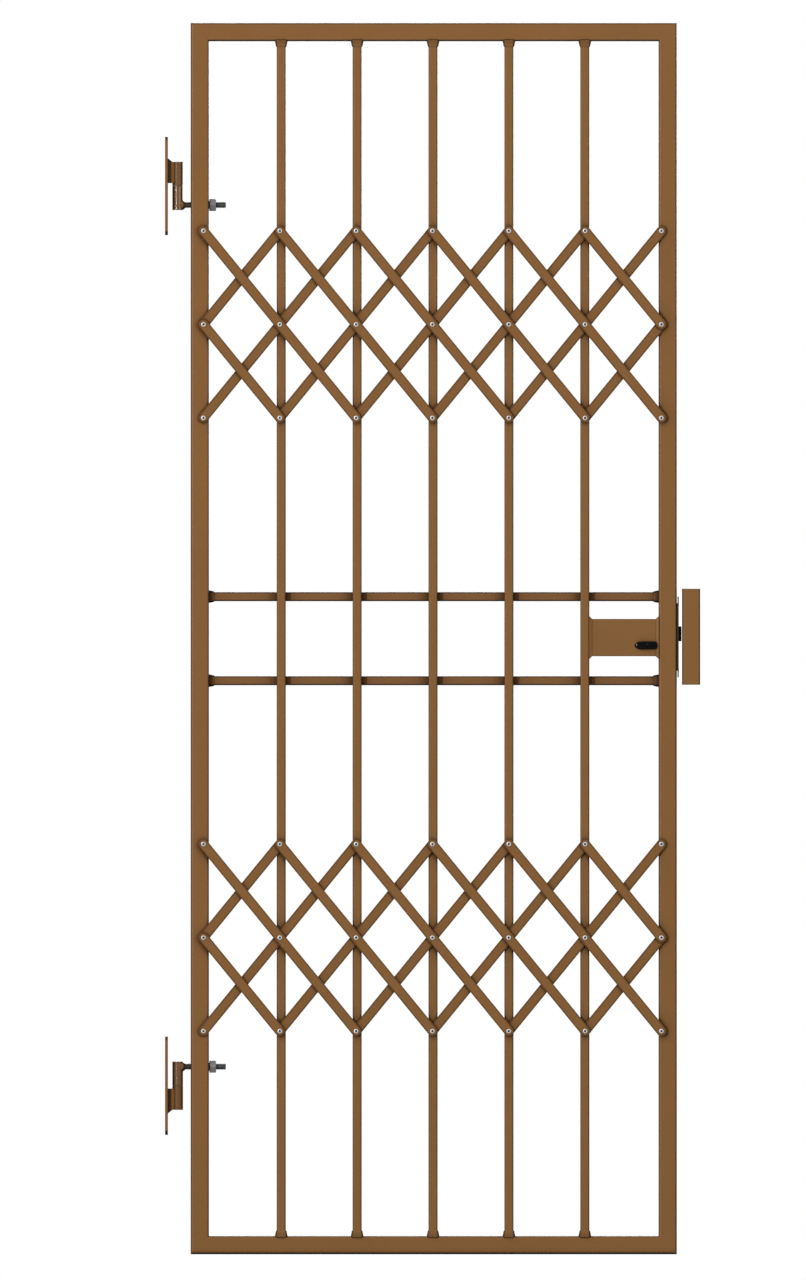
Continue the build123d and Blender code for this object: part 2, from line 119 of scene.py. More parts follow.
# The forend's screws
SCREW_HEAD = 8.0 * MM
SCREW_FROM_END = 12.0 * MM
SCREW_SEGMENTS = 64
CROSS_WAIST = 0.34
CROSS_SHARPNESS = 5

# Rings of a screw head: how far out of the plate, radius, and whether it belongs to the cross recess
SCREW_RINGS = (
    (-1.2 * MM, SCREW_HEAD * 0.30, False),
    (0.0, SCREW_HEAD / 2 - 0.15 * MM, False),
    (0.15 * MM, SCREW_HEAD / 2 - 0.45 * MM, False),
    (0.2 * MM, SCREW_HEAD * 0.31, True),
    (-0.9 * MM, SCREW_HEAD * 0.22, True),
    (-1.1 * MM, SCREW_HEAD * 0.02, True),
)

# The key cover
KEY_ROUND_END = 10.0 * MM
KEY_CORNER = 4.5 * MM
KEY_RIM = 0.4 * MM
KEY_SEAM = 2.1 * MM
KEY_SEAM_DEPTH = 0.9 * MM
KEY_SEAM_WIDTH = 0.55 * MM
KNOB_LENGTHWISE = 55.0 * MM
KNOB_SHOULDER = 1.4 * MM
TONGUE_SHARE = 0.68
TONGUE_SHOULDER = 1.1 * MM
DOME_RADIUS = 38.0 * MM
KEY_ROUND_STEPS = 36
KEY_STRAIGHT_STEPS = 44
KEY_CORNER_STEPS = 12
KEY_END_STEPS = 6

# How far each ring of the key cover has come in from its outline, as a share
KEY_RINGS = (0.0, 0.0, 0.03, 0.07, 0.12, 0.18, 0.26, 0.36, 0.48, 0.62, 0.78, 0.94, 1.0)

# The stage
FLOOR_GAP = 8 * MM
FLOOR_REACH = 16.0
FLOOR_RIPPLES = 3.0
FLOOR_TONES = (0.52, 0.54)
FLOOR_THROWN_BACK = 0.15
FLOOR_ROUGHNESS = 0.9
FLOOR_GLOW = 0.56
WORLD_SEEN = 1.0
WORLD_GLOW = 0.12
AIM = Vector((MIDDLE_X, 0, MIDDLE_Z))

# The photograph: a level, straight-on view with no perspective
PHOTO_WIDTH, PHOTO_HEIGHT = 806, 1280
WALL_PIXEL = 165.06
LEAF_BOTTOM_PIXEL = 1254.32
METRES_PER_PIXEL = 1.5837 * MM
CAMERA_DISTANCE = 4.0

# The shaders' samples, and the mix node's sockets for two vectors and for two colours
BEVEL_SAMPLES = 4
CORNER_SAMPLES = 8
MIX_VECTORS = (4, 5)
MIX_COLOURS = (6, 7)


# Shader helpers
class Shader:
    """A node material, with short calls for adding and joining nodes."""

    def __init__(self, name):
        self.material = bpy.data.materials.new(name)
        self.material.use_nodes = True
        self.tree = self.material.node_tree
        self.tree.nodes.clear()
        output = self.tree.nodes.new("ShaderNodeOutputMaterial")
        self.principled = self.tree.nodes.new("ShaderNodeBsdfPrincipled")
        self.tree.links.new(self.principled.outputs[0], output.inputs["Surface"])
        self.position = self.add("ShaderNodeTexCoord").outputs["Object"]

    def add(self, kind, **values):
        """A new node with its settings and inputs; an underscore stands for a space in an input's name."""
        node = self.tree.nodes.new(kind)
        for key, value in values.items():
            if hasattr(node, key):
                setattr(node, key, value)
            else:
                node.inputs[key.replace("_", " ")].default_value = value
        return node

    def feed(self, socket, value):
        """Give a socket a number, a colour or another node's output."""
        if isinstance(value, (int, float)):
            socket.default_value = value
        elif isinstance(value, (tuple, list)):
            socket.default_value = (*value, 1.0)
        else:
            self.tree.links.new(value, socket)

    def surface(self, **values):
        """Give the surface its inputs, with their names written as for add."""
        for key, value in values.items():
            self.feed(self.principled.inputs[key.replace("_", " ")], value)

    def noise(self, scale, detail, roughness, stretch=None):
        """Noise in object space; stretch scales its axes."""
        texture = self.add("ShaderNodeTexNoise", Scale=scale, Detail=detail, Roughness=roughness)
        place = self.position
        if stretch:
            mapping = self.add("ShaderNodeMapping", Scale=stretch)
            self.feed(mapping.inputs["Vector"], self.position)
            place = mapping.outputs[0]
        self.feed(texture.inputs["Vector"], place)
        return texture.outputs["Fac"]

    def ramp(self, source, low, high, start=0.0, end=1.0):
        """A number mapped from low..high to start..end, clamped."""
        node = self.add("ShaderNodeMapRange", clamp=True, From_Min=low, From_Max=high, To_Min=start,
                        To_Max=end)
        self.feed(node.inputs["Value"], source)
        return node.outputs["Result"]

    def math(self, operation, first, second=0.0):
        node = self.add("ShaderNodeMath", operation=operation)
        self.feed(node.inputs[0], first)
        self.feed(node.inputs[1], second)
        return node.outputs[0]

    def plus(self, first, second):
        return self.math("ADD", first, second)

    def minus(self, first, second):
        return self.math("SUBTRACT", first, second)

    def times(self, first, second):
        return self.math("MULTIPLY", first, second)

    def absolute(self, value):
        return self.math("ABSOLUTE", value)

    def split(self, vector):
        """The outputs X, Y and Z of a vector."""
        node = self.add("ShaderNodeSeparateXYZ")
        self.feed(node.inputs[0], vector)
        return node.outputs

    def mix(self, factor, first, second, blend="MIX"):
        """A colour between two others."""
        node = self.add("ShaderNodeMix", data_type="RGBA", blend_type=blend)
        for index, value in zip((0, *MIX_COLOURS), (factor, first, second)):
            self.feed(node.inputs[index], value)
        return node.outputs[2]

    def mix_vector(self, factor, first, second):
        """A vector between two others."""
        node = self.add("ShaderNodeMix", data_type="VECTOR")
        for index, value in zip((0, *MIX_VECTORS), (factor, first, second)):
            self.feed(node.inputs[index], value)
        return node.outputs[1]

    def bump(self, height, distance, strength, normal=None):
        """A normal that a height tilts."""
        node = self.add("ShaderNodeBump", Strength=strength, Distance=distance)
        self.feed(node.inputs["Height"], height)
        if normal is not None:
            self.feed(node.inputs["Normal"], normal)
        return node.outputs["Normal"]

    def rounded_normal(self, width):
        """The normal of a surface whose edges are rounded to a width."""
        return self.add("ShaderNodeBevel", samples=BEVEL_SAMPLES, Radius=width).outputs[0]


def srgb(red, green, blue):
    """A colour written in 8-bit display values, as the linear one that a shader takes, by the sRGB curve."""
    linear = []
    for value in (red, green, blue):
        value /= 255
        linear.append(value / 12.92 if value <= 0.04045 else ((value + 0.055) / 1.055) ** 2.4)
    return tuple(linear)


def scaled(colour, factors):
    """A colour with each channel scaled by its own factor."""
    return [channel * factor for channel, factor in zip(colour, factors)]


def grey(value):
    return (value, value, value)


def painted_crevice_shade(shader, base, reach, deepest):
    """A colour darkened by painted shade from ambient occlusion in corners and crossings, down to a share of
    deepest.
    """
    shade = shader.add("ShaderNodeCombineColor")
    corner = shader.add("ShaderNodeAmbientOcclusion", samples=CORNER_SAMPLES, Distance=reach)
    crevice_shade = shader.ramp(corner.outputs["AO"], low=0.50, high=0.97, start=deepest, end=1.0)
    for channel in shade.inputs:
        shader.feed(channel, crevice_shade)
    return shader.mix(1.0, base, shade.outputs[0], "MULTIPLY")


# Powder coat: colours, ripples a metre of each kind of mark, how much it covers, and where it fades
BRONZE = srgb(129, 91, 52)
BRONZE_LIGHT = srgb(137, 97, 56)
BRONZE_DARK = srgb(106, 72, 40)
DUST = srgb(140, 112, 78)
# The next colour is painted shade: it darkens undersides, outlines, folds, the gussets beside the wall plate,
# weld collars and the hinge plates' lower ends
PAINTED_SHADE = srgb(30, 22, 18)
PEEL_RIPPLES = 520.0
PEEL_SHARE = 0.75
PEEL_HEIGHT = 0.05 * MM
FINE_RIPPLES = 1900.0
CLOUD_RIPPLES = 9.0
CLOUD_COVER = 0.5
SPECK_RIPPLES = 850.0
SPECK_COVER = 0.16
DUST_RIPPLES = 60.0
DUST_COVER = (0.05, 0.30)
DUST_ROUGHNESS = 0.35
# The next three set how strong the painted shade is under edges, along outlines and along folds
UNDERSIDE_SHADE_COVER = 0.93
EDGE_COVER = 0.75
FOLD_COVER = 0.45
# Painted shade along X, which darkens the gussets from the wall plate
SHADE_ALONG_X_RIPPLES = 200.0
SHADE_ALONG_X_WANDER = 1.2 * MM
SHADE_ALONG_X_COVER = 0.80
# Painted shade at the hinge plates' lower ends
END_SHADE_RIPPLES = 300.0
END_SHADE_WANDER = 1.5 * MM
END_SHADE_COVER = 0.93
END_SHADE_FULL, END_SHADE_GONE = 5.0 * MM, 8.5 * MM
# Painted shade on the weld collars beside the frame
WELD_SHADE_FULL, WELD_SHADE_GONE = 1.0 * MM, 8.0 * MM
MITRE_FLAT, MITRE_ROUND = 4.5 * MM, 6.5 * MM
WEAR_RIPPLES = 35.0


def from_middle(shader):
    """How far a point is from the leaf's middle, across and up or down."""
    place = shader.split(shader.position)
    across = shader.absolute(shader.minus(place["X"], MIDDLE_X))
    up = shader.absolute(shader.minus(place["Z"], MIDDLE_Z))
    return across, up


def flush_mitre(shader, rounded):
    """The rounded normal, except along the leaf's mitres, which are ground flush under the coat."""
    across, up = from_middle(shader)
    flat = shader.add("ShaderNodeNewGeometry").outputs["Normal"]
    away = shader.absolute(shader.minus(shader.minus(across, up), (LEAF_WIDTH - LEAF_HEIGHT) / 2))
    return shader.mix_vector(shader.ramp(away, MITRE_FLAT, MITRE_ROUND), flat, rounded)


def peeled_normal(shader, rounded, strength):
    """The coat's skin: coarse and fine orange peel."""
    coarse = shader.noise(PEEL_RIPPLES, detail=2.0, roughness=0.55)
    fine = shader.noise(FINE_RIPPLES, detail=2.0, roughness=0.6)
    grain = shader.plus(shader.times(coarse, PEEL_SHARE), shader.times(fine, 1 - PEEL_SHARE))
    return shader.bump(grain, PEEL_HEIGHT, strength, rounded)


def mottled_bronze(shader, tone):
    """Bronze with soft lighter clouds and small dark specks."""
    light, plain, dark = (scaled(colour, tone) for colour in (BRONZE_LIGHT, BRONZE, BRONZE_DARK))
    cloud = shader.ramp(shader.noise(CLOUD_RIPPLES, detail=4.0, roughness=0.6), low=0.3, high=0.7)
    speck = shader.ramp(shader.noise(SPECK_RIPPLES, detail=1.0, roughness=0.5), low=0.30, high=0.72)
    base = shader.mix(shader.times(cloud, CLOUD_COVER), plain, light)
    return shader.mix(shader.times(shader.minus(1.0, speck), SPECK_COVER), base, dark)


def settled_dust(shader, turned):
    """How much dust lies at a point: patches of it, where the surface turns up."""
    upward = shader.ramp(turned["Z"], low=0.75, high=1.0)
    patches = shader.noise(DUST_RIPPLES, detail=4.0, roughness=0.65)
    return shader.times(upward, shader.ramp(patches, 0.35, 0.75, *DUST_COVER))


def darkened_edges(shader, base, turned, edge_from, edge_to):
    """Painted shade: dark under the edges that face down, and a painted dark outline where the surface turns
    away from front or back.
    """
    downward = shader.times(turned["Z"], -1.0)
    base = shader.mix(shader.ramp(downward, low=0.22, high=0.55, end=UNDERSIDE_SHADE_COVER), base, PAINTED_SHADE)
    facing = shader.absolute(turned["Y"])
    line = shader.ramp(facing, low=edge_from, high=edge_to)
    not_sideways = shader.ramp(facing, low=0.02, high=0.15, end=EDGE_COVER)
    return shader.mix(shader.times(line, not_sideways), base, PAINTED_SHADE)


def fold_lines(shader, base, outline):
    """A thin painted dark line of shade along folds, where the rounded normal leaves the flat one."""
    turn = shader.add("ShaderNodeVectorMath", operation="DOT_PRODUCT")
    shader.feed(turn.inputs[0], outline)
    shader.feed(turn.inputs[1], shader.add("ShaderNodeNewGeometry").outputs["Normal"])
    line = shader.ramp(turn.outputs["Value"], low=0.997, high=0.984, end=FOLD_COVER)
    return shader.mix(line, base, PAINTED_SHADE)


def painted_shade_along_x(shader, base, full, gone):
    """Painted shade, which fades along X from full to gone with a wavering edge."""
    wander = shader.times(shader.noise(SHADE_ALONG_X_RIPPLES, detail=4.0, roughness=0.6), SHADE_ALONG_X_WANDER)
    place = shader.plus(shader.split(shader.position)["X"], wander)
    return shader.mix(shader.ramp(place, full, gone, SHADE_ALONG_X_COVER, 0.0), base, PAINTED_SHADE)


def painted_weld_shade(shader, base, darkness):
    """Painted shade on the weld collars beside the leaf's frame."""
    across, up = from_middle(shader)
    from_stile = shader.minus(LEAF_WIDTH / 2 - TUBE, across)
    from_rail = shader.minus(LEAF_HEIGHT / 2 - TUBE, up)
    from_frame = shader.math("MINIMUM", from_stile, from_rail)
    return shader.mix(shader.ramp(from_frame, WELD_SHADE_FULL, WELD_SHADE_GONE, darkness, 0.0), base, PAINTED_SHADE)


def painted_end_shade(shader, base, heights):
    """Painted dark shade round each height, with a wavering edge."""
    wander = shader.times(shader.noise(END_SHADE_RIPPLES, detail=3.0, roughness=0.6), END_SHADE_WANDER)
    place = shader.plus(shader.split(shader.position)["Z"], wander)
    for height in heights:
        away = shader.absolute(shader.minus(place, height))
        stain_and_end_shade = shader.ramp(away, END_SHADE_FULL, END_SHADE_GONE, END_SHADE_COVER, 0.0)
        base = shader.mix(stain_and_end_shade, base, PAINTED_SHADE)
    return base


def powder_coat(name, tone=(1, 1.01, 1.07), shine=0.05, rough=(0.20, 0.27), peel_strength=0.55,
                bevel=0.5 * MM, outline_width=2.6 * MM, edge_from=0.998, edge_to=0.90, reach=20 * MM,
                deepest=0.26, mitred=False, folded=False, shade_along_x=None, weld_shade=0.0, plate_ends=()):
    """Satin bronze powder coat: orange peel, slight mottling, settled dust, and painted shade in corners and
    at edges.

    tone scales the colour's channels, shine is the gloss, rough the least and the most roughness, and
    peel_strength how deep the orange peel is. bevel is how wide the edges catch the light. outline_width is
    how wide their painted dark outline of shade is, which starts where the rounded surface turns to edge_from
    and is full at edge_to. reach and deepest set how far the painted shade in corners reaches and how dark it
    gets. mitred keeps the leaf's mitres flush. folded adds a thin painted line of shade along folds. sooty is
    the x where a painted shade starts to fade and the x where it ends. burnt is how dark the painted shade on
    the weld collars at the frame is. plate_ends holds the lower ends, as heights, that get painted dark
    shade.
    """
    shader = Shader(name)
    rounded = shader.rounded_normal(bevel)
    outline = shader.rounded_normal(outline_width)
    if mitred:
        rounded = flush_mitre(shader, rounded)
        outline = flush_mitre(shader, outline)
    turned = shader.split(outline)
    dusty = settled_dust(shader, turned)

    base = shader.mix(dusty, mottled_bronze(shader, tone), DUST)
    # Painted shade under the edges that face down and along the outlines
    base = darkened_edges(shader, base, turned, edge_from, edge_to)
    # Painted shade along folds, along X, on weld collars and at plate ends, where asked for
    if folded:
        base = fold_lines(shader, base, outline)
    if shade_along_x:
        base = painted_shade_along_x(shader, base, *shade_along_x)
    if weld_shade:
        base = painted_weld_shade(shader, base, weld_shade)
    if plate_ends:
        base = painted_end_shade(shader, base, plate_ends)

    worn = shader.ramp(shader.noise(WEAR_RIPPLES, detail=5.0, roughness=0.6), 0.25, 0.75, *rough)
    # The colour takes painted shade in corners and crossings, from ambient occlusion
    shader.surface(Base_Color=painted_crevice_shade(shader, base, reach, deepest),
                   Roughness=shader.plus(worn, shader.times(dusty, DUST_ROUGHNESS)),
                   Specular_IOR_Level=shine,
                   Normal=peeled_normal(shader, rounded, peel_strength))
    return shader.material


# Steel: its edges, turning marks and stains
STEEL_EDGE = 0.25 * MM
# The next two set how far the steel's painted corner shade reaches and how dark it gets
STEEL_REACH = 5 * MM
STEEL_DEEPEST = 0.35
MARK_RIPPLES = 900.0
MARK_STRETCH = (1.0, 0.15, 0.15)
MARK_HEIGHT = 0.03 * MM
STAIN_RIPPLES = 120.0
STAIN_TONE = 0.55
STAIN_COVER = 0.6
STAIN_ROUGHNESS = 0.18


def brushed_steel(name, colour, roughness, metallic=1.0, scratch=0.5, shine=0.5):
    """Plain, plated or painted steel: turning marks, uneven tone and faint stains."""
    shader = Shader(name)
    marks = shader.noise(MARK_RIPPLES, detail=3.0, roughness=0.6, stretch=MARK_STRETCH)
    stain_and_end_shade = shader.ramp(shader.noise(STAIN_RIPPLES, detail=5.0, roughness=0.65), low=0.30, high=0.75)
    base = shader.mix(shader.times(stain_and_end_shade, STAIN_COVER), colour, scaled(colour, grey(STAIN_TONE)))
    # The steel's colour takes painted shade in corners, from ambient occlusion
    shader.surface(Base_Color=painted_crevice_shade(shader, base, STEEL_REACH, STEEL_DEEPEST),
                   Metallic=metallic,
                   Roughness=shader.ramp(stain_and_end_shade, 0.0, 1.0, roughness, roughness + STAIN_ROUGHNESS),
                   Specular_IOR_Level=shine,
                   Normal=shader.bump(marks, MARK_HEIGHT, scratch, shader.rounded_normal(STEEL_EDGE)))
    return shader.material


# Black gloss: its waves and smears
WAVE_RIPPLES = 180.0
WAVE_HEIGHT = 0.05 * MM
WAVE_STRENGTH = 0.1
SMEAR_RIPPLES = 240.0
GLOSS_ROUGHNESS = (0.07, 0.10)
GLOSS_SHINE = 0.07


def black_gloss(name):
    """Glossy black moulding with faint handling marks and a slightly wavy surface."""
    shader = Shader(name)
    wave = shader.noise(WAVE_RIPPLES, detail=2.0, roughness=0.5)
    smear = shader.ramp(shader.noise(SMEAR_RIPPLES, detail=5.0, roughness=0.7), low=0.35, high=0.8)
    shader.surface(Base_Color=shader.mix(smear, srgb(1, 1, 2), srgb(4, 4, 5)),
                   Roughness=shader.ramp(smear, 0.0, 1.0, *GLOSS_ROUGHNESS),
                   Specular_IOR_Level=GLOSS_SHINE,
                   Normal=shader.bump(wave, WAVE_HEIGHT, WAVE_STRENGTH))
    return shader.material


# The plain coat paints shade on the weld collars beside the frame
coat = powder_coat("bronze_powder_coat", edge_from=0.92, edge_to=0.72, weld_shade=0.25)
coat_frame = powder_coat("bronze_powder_coat_frame", edge_from=0.92, edge_to=0.72, mitred=True)
# A darker, bluer copy of the coat for the cross bars: painted shade, as they sit back behind the uprights,
# and a painted stand-in for the sheen their low shine leaves out
coat_bars = powder_coat("bronze_powder_coat_bars", tone=(0.92, 0.945, 1.15), shine=0.03, edge_from=0.97,
                        edge_to=0.75, reach=46 * MM, deepest=0.32, weld_shade=0.55)
coat_keep = powder_coat("bronze_powder_coat_keep")
# Wider painted dark outlines of shade on the strips; the back strips also take a darker copy of the coat,
# painted shade for lying behind the front ones
coat_strips = powder_coat("bronze_powder_coat_strips", outline_width=4.2 * MM, edge_from=0.9995, edge_to=0.97)
coat_back_strips = powder_coat("bronze_powder_coat_back_strips", tone=(0.95, 0.955, 1.01),
                               outline_width=4.6 * MM, edge_from=0.9995, edge_to=0.98)
# A lighter, bluer copy of the coat for the lock case, a painted stand-in for the sheen its low shine leaves
# out; its folds take painted lines of shade
coat_case = powder_coat("bronze_powder_coat_case", tone=(1.035, 1.07, 1.20), shine=0.02, bevel=1.2 * MM,
                        edge_from=0.90, edge_to=0.72, folded=True)
# The gussets take painted shade that fades from the wall plate towards the knuckle
coat_gussets = powder_coat("bronze_powder_coat_gussets", shine=0.03, bevel=1.2 * MM, edge_from=0.985,
                           edge_to=0.78, deepest=0.75, shade_along_x=(4.5 * MM, 15 * MM))
# Darker copies of the coat for the knuckles: painted shade across the round knuckles
coat_wall_knuckles = powder_coat("bronze_powder_coat_wall_knuckles", tone=(0.80, 0.80, 0.83),
                                 rough=(0.16, 0.20), peel_strength=0.15, edge_from=0.80, edge_to=0.50,
                                 deepest=0.40)
coat_gate_knuckles = powder_coat("bronze_powder_coat_gate_knuckles", tone=(0.78, 0.77, 0.77), shine=0.20,
                                 rough=(0.12, 0.15), peel_strength=0.10, edge_from=0.80, edge_to=0.50,
                                 deepest=0.40)
# The hinge plates take painted dark shade at their lower ends
coat_plates = powder_coat("bronze_powder_coat_painted_end_shade",
                          plate_ends=[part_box(f"{hinge}_hinge_plate")[0].z for hinge in LEVELS])
zinc = brushed_steel("zinc_plated_steel", srgb(109, 111, 114), 0.38)
rivet_metal = brushed_steel("rivet_aluminium", srgb(192, 189, 185), 0.50, metallic=0.5, scratch=0.3)
stem_metal = brushed_steel("rivet_stem_steel", srgb(50, 58, 70), 0.50, metallic=0.6)
dark_steel = brushed_steel("dark_threaded_steel", srgb(90, 92, 95), 0.40)
dark_plate = brushed_steel("forend_plate", srgb(60, 46, 34), 0.45, metallic=0.0, shine=0.08)
black_steel = brushed_steel("black_bolt", srgb(14, 14, 15), 0.40, metallic=0.0, shine=0.06)
gloss = black_gloss("black_gloss_cover")

SLOT_MATERIAL = {
    "bronze_powder_coat": coat,
    "zinc_steel": zinc,
    "dark_steel": dark_steel,
    "dark_plate": dark_plate,
    "black_steel": black_steel,
    "black_gloss": gloss,
}

# A coated node takes the coat beside the first of these words that its name holds
COAT_FOR = (
    ("hinge_plate", coat_plates),
    ("hinge_gusset", coat_gussets),
    ("wall_knuckle", coat_wall_knuckles),
    ("gate_knuckle", coat_gate_knuckles),
    ("cross_bar", coat_bars),
    ("rail", coat_frame),
    ("stile", coat_frame),
    ("lock_case", coat_case),
    ("keep_box", coat_keep),
    ("back_strips", coat_back_strips),
    ("lattice", coat_strips),
)

for part in frame["record"]["subparts"]:
    node = nodes[part["node"]]
    material = SLOT_MATERIAL[part["material_slot"]]
    if material is coat:
        material = next((one for word, one in COAT_FOR if word in part["node"]), coat)
    node.data.materials.clear()
    node.data.materials.append(material)


# Mesh helpers
def mesh_from(bm, name):
    """A mesh with its normals outwards."""
    bmesh.ops.recalc_face_normals(bm, faces=bm.faces)
    mesh = bpy.data.meshes.new(name)
    bm.to_mesh(mesh)
    bm.free()
    return mesh


def finish_piece(name, bm, materials, body, smooth=True):
    """Make a piece with its materials, and let it ride on a body."""
    mesh = mesh_from(bm, name)
    piece = bpy.data.objects.new(name, mesh)
    bpy.context.scene.collection.objects.link(piece)
    for material in materials:
        mesh.materials.append(material)
    for polygon in mesh.polygons:
        polygon.use_smooth = smooth
    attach(piece, body)
    return piece


def ring_radius(ring, angle):
    """The radius of a ring that is round: (distance along the axis, radius)."""
    return ring[1]


def turned_loops(bm, rings, centre, axis, side, segments, radius_at=ring_radius):
    """Loops of vertices round an axis, from side on.

    A ring starts with its distance along the axis, and radius_at works out a radius from a ring and an angle.
    """
    other = axis.cross(side)
    loops = []
    for ring in rings:
        loop = []
        for step in range(segments):
            angle = math.tau * step / segments
            outwards = side * math.cos(angle) + other * math.sin(angle)
            loop.append(bm.verts.new(centre + axis * ring[0] + outwards * radius_at(ring, angle)))
        loops.append(loop)
    return loops


def join_loops(bm, loops, material_of=None):
    """Faces from each loop of vertices to the next one."""
    for index, (first, second) in enumerate(zip(loops, loops[1:])):
        for step in range(len(first)):
            after = (step + 1) % len(first)
            face = bm.faces.new((first[step], first[after], second[after], second[step]))
            if material_of:
                face.material_index = material_of(index)


def cap_ends(bm, loops):
    """A face across the first loop and one across the last, which is returned."""
    bm.faces.new(list(reversed(loops[0])))
    return bm.faces.new(loops[-1])


# Rivets
def rivet_rings():
    """A domed rivet head with a rolled edge, and the broken-off stem sunk in its middle."""
    dome = [(RIVET_HEIGHT * up, RIVET_RADIUS * out) for up, out in RIVET_DOME]
    stem = [(RIVET_HEIGHT * up, RIVET_STEM_RADIUS * out) for up, out in RIVET_STEM]
    return dome + stem


def rivet_material(ring):
    """0 for the aluminium head, and 1 for the steel stem."""
    return 1 if ring >= len(RIVET_DOME) else 0


def rivet_places(band):
    """Each rivet's middle on the strip that it holds, worked out from where the band's strips end."""
    low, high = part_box(f"{band}_lattice_front_strips")
    half = STRIP_WIDTH / 2
    pitch = (high.x - low.x - STRIP_WIDTH) / LAST_COLUMN
    row_pitch = (high.z - low.z - STRIP_WIDTH) / LAST_ROW
    for column in range(LAST_COLUMN + 1):
        for row in range(LAST_ROW + 1):
            back_only = (column, row) in ((LAST_COLUMN, 0), (0, LAST_ROW))
            layers = 1 if back_only else 2
            yield Vector((low.x + half + column * pitch, FRONT - layers * STRIP_THICKNESS,
                          high.z - half - row * row_pitch))


def lattice_rivets(band):
    """The rivets of a band, each turned its own way."""
    bm = bmesh.new()
    for place in rivet_places(band):
        turn = random.uniform(0, math.tau)
        side = Vector((math.cos(turn), 0, math.sin(turn)))
        loops = turned_loops(bm, rivet_rings(), place, -Y_AXIS, side, RIVET_SEGMENTS)
        join_loops(bm, loops, rivet_material)
        cap_ends(bm, loops).material_index = rivet_material(len(loops) - 1)
    return bm


for band in LEVELS:
    rivets = lattice_rivets(band)
    finish_piece(f"{band}_lattice_rivets", rivets, [rivet_metal, stem_metal], "gate_leaf")


# Threaded studs
def thread_radius(x, angle, end, radius):
    """The radius of a helical thread at x, with a chamfer towards its free end."""
    phase = (x / STUD_PITCH - angle / math.tau) % 1.0
    ridge = 1 - abs(2 * phase - 1)
    ridge = min(1.0, max(0.0, (ridge - THREAD_ROOT) / THREAD_FLANK))
    threaded = radius - STUD_THREAD_DEPTH * (1 - ridge)
    chamfered = radius - max(0.0, STUD_CHAMFER - (end - x))
    return min(threaded, chamfered)


def threaded_rod(low, high):
    """A rod along X, inside a box, with a real helical thread and a chamfered free end."""
    radius = (high.z - low.z) / 2
    steps = int((high.x - low.x) / STUD_PITCH * STUD_STEPS_A_PITCH)
    rings = [(low.x + (high.x - low.x) * step / steps,) for step in range(steps + 1)]
    centre = Vector((0, (low.y + high.y) / 2, (low.z + high.z) / 2))
    bm = bmesh.new()
    loops = turned_loops(bm, rings, centre, X_AXIS, Y_AXIS, STUD_SEGMENTS,
                         lambda ring, angle: thread_radius(ring[0], angle, high.x, radius))
    join_loops(bm, loops)
    cap_ends(bm, loops)
    return bm


for hinge in LEVELS:
    rod = threaded_rod(*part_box(f"{hinge}_hinge_stud"))
    stud = finish_piece(f"{hinge}_threaded_stud", rod, [dark_steel], "gate_leaf")
    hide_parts(f"{hinge}_hinge_stud")


# Hexagon nuts
def nut_radius(ring, angle):
    """Distance to a hexagon's side with its flats up and down, held inside the ring's turned radius."""
    from_flat = angle % (math.pi / 3) - math.pi / 6
    return min(NUT_FLATS / 2 / math.cos(from_flat), ring[1])


def hexagon_nut(low, high):
    """A chamfered nut with a turned washer face towards the stile and a countersunk bore."""
    length = high.x - low.x
    bore = NUT_BORE / 2
    mouth = bore + NUT_COUNTERSINK
    cone = []
    for step in range(NUT_CHAMFER_STEPS + 1):
        share = step / NUT_CHAMFER_STEPS
        cone.append((NUT_CHAMFER * share * NUT_CHAMFER_SLOPE,
                     NUT_FLATS / 2 * NUT_CONE_START + (NUT_CORNER_RADIUS - NUT_FLATS / 2) * share))
    rings = [(0.0, mouth), (0.0, NUT_FACE / 2), (NUT_COLLAR, NUT_FACE / 2)]
    rings += [(NUT_COLLAR + deep, radius) for deep, radius in cone]
    rings += [(length - deep, radius) for deep, radius in reversed(cone)]
    rings += [(length, mouth), (length - NUT_COUNTERSINK, bore), (NUT_COUNTERSINK, bore)]
    centre = Vector((low.x, (low.y + high.y) / 2, (low.z + high.z) / 2))
    bm = bmesh.new()
    loops = turned_loops(bm, rings, centre, X_AXIS, Y_AXIS, NUT_SEGMENTS, nut_radius)
    join_loops(bm, loops + loops[:1])
    return bm


for hinge in LEVELS:
    turned_nut = hexagon_nut(*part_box(f"{hinge}_stud_nut"))
    nut = finish_piece(f"{hinge}_hexagon_nut", turned_nut, [zinc], "gate_leaf", smooth=False)
    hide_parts(f"{hinge}_stud_nut")


# Bearing washers
def bearing_washer(bottom, top):
    """A flat ring round the hinge pin, with small chamfers outside."""
    height = top - bottom
    bore, outside = WASHER_BORE / 2, WASHER / 2
    rings = (
        (0, bore),
        (0, outside - WASHER_CHAMFER),
        (WASHER_CHAMFER, outside),
        (height - WASHER_CHAMFER, outside),
        (height, outside - WASHER_CHAMFER),
        (height, bore),
    )
    bm = bmesh.new()
    loops = turned_loops(bm, rings, Vector((PIN_X, 0, bottom)), Z_AXIS, X_AXIS, WASHER_SEGMENTS)
    join_loops(bm, loops + loops[:1])
    return bm


for hinge, under, over in (("upper", "gate", "wall"), ("lower", "wall", "gate")):
    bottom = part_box(f"{hinge}_{under}_knuckle")[1].z + WASHER_PLAY
    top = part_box(f"{hinge}_{over}_knuckle")[0].z - WASHER_PLAY
    washer = bearing_washer(bottom, top)
    finish_piece(f"{hinge}_bearing_washer", washer, [dark_steel], "wall_side")


# Forend screws
def screw_radius(ring, angle):
    """The radius of a screw head's ring, drawn in to a cross where the ring belongs to the recess."""
    _, radius, crossed = ring
    if not crossed:
        return radius
    return radius * (CROSS_WAIST + (1 - CROSS_WAIST) * abs(math.cos(2 * angle)) ** CROSS_SHARPNESS)


